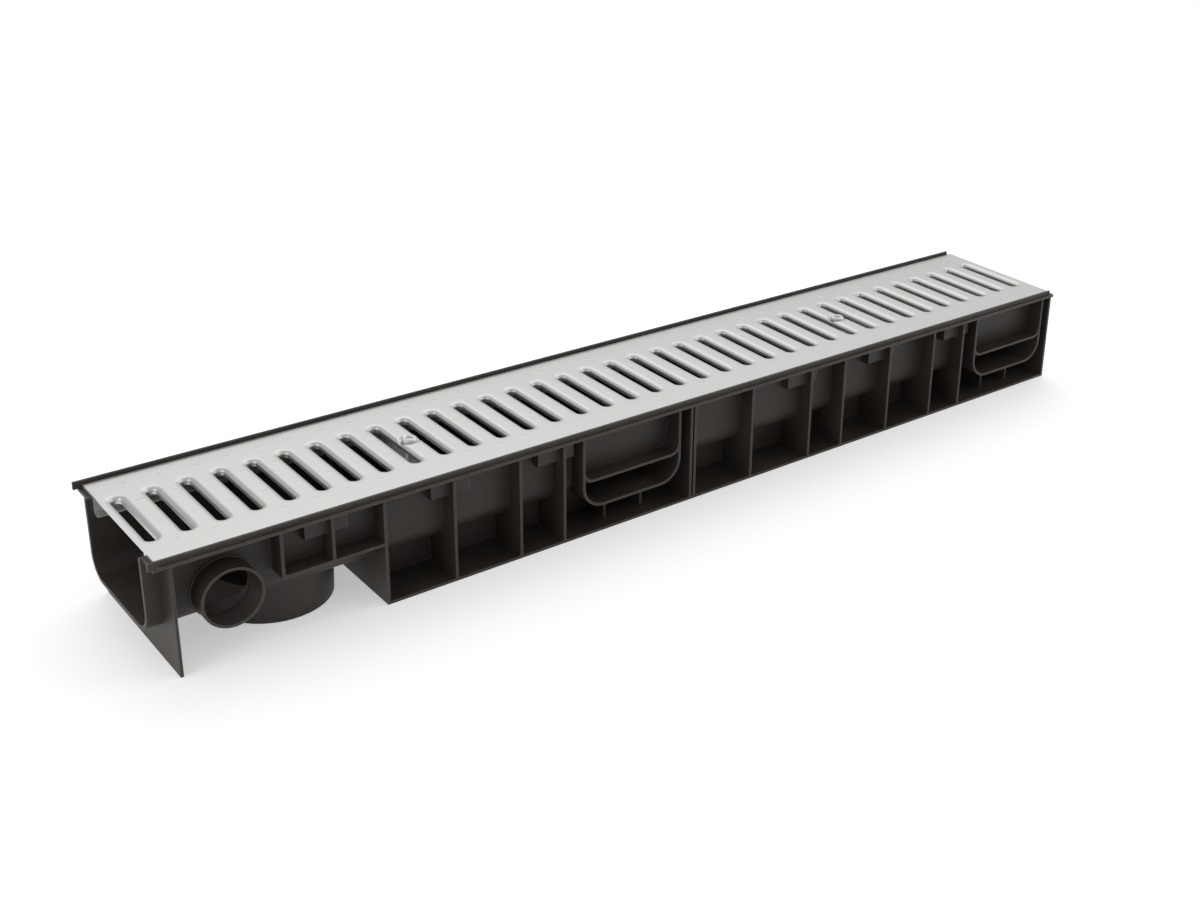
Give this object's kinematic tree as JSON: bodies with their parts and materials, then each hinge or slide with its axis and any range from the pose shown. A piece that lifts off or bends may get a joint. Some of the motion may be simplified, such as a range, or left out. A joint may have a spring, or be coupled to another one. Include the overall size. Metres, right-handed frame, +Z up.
{
  "type": "channel drain",
  "caption": "Ribbed plastic drainage channel with a round sump, a side outlet and a slotted galvanised steel grating held by two turning locks.",
  "frame": {"origin": "on the ground, under the middle of the channel", "axes": "+X along the channel away from the sump, +Y across it away from the side outlet, +Z up"},
  "size_m": [0.9974, 0.1604, 0.1038],
  "materials": {
    "body_plastic": "matte",
    "galvanised_steel": "satin",
    "plated_steel": "satin"
  },
  "bodies": {
    "channel": {"channel_body": "body_plastic", "grating": "galvanised_steel", "lock_washer_left": "plated_steel", "lock_washer_right": "plated_steel"},
    "lock_left": {"lock_screw_left": "plated_steel", "lock_bar_left": "galvanised_steel", "lock_nut_left": "plated_steel"},
    "lock_right": {"lock_screw_right": "plated_steel", "lock_bar_right": "galvanised_steel", "lock_nut_right": "plated_steel"}
  },
  "joints": [
    {"name": "lock_turn_left", "type": "hinge", "parent": "channel", "child": "lock_left", "pos_m": [-0.24678, 0, 0.09], "axis": [0, 0, 1], "range_deg": [0, 90]},
    {"name": "lock_turn_right", "type": "hinge", "parent": "channel", "child": "lock_right", "pos_m": [0.24678, 0, 0.09], "axis": [0, 0, 1], "range_deg": [0, 90]}
  ]
}
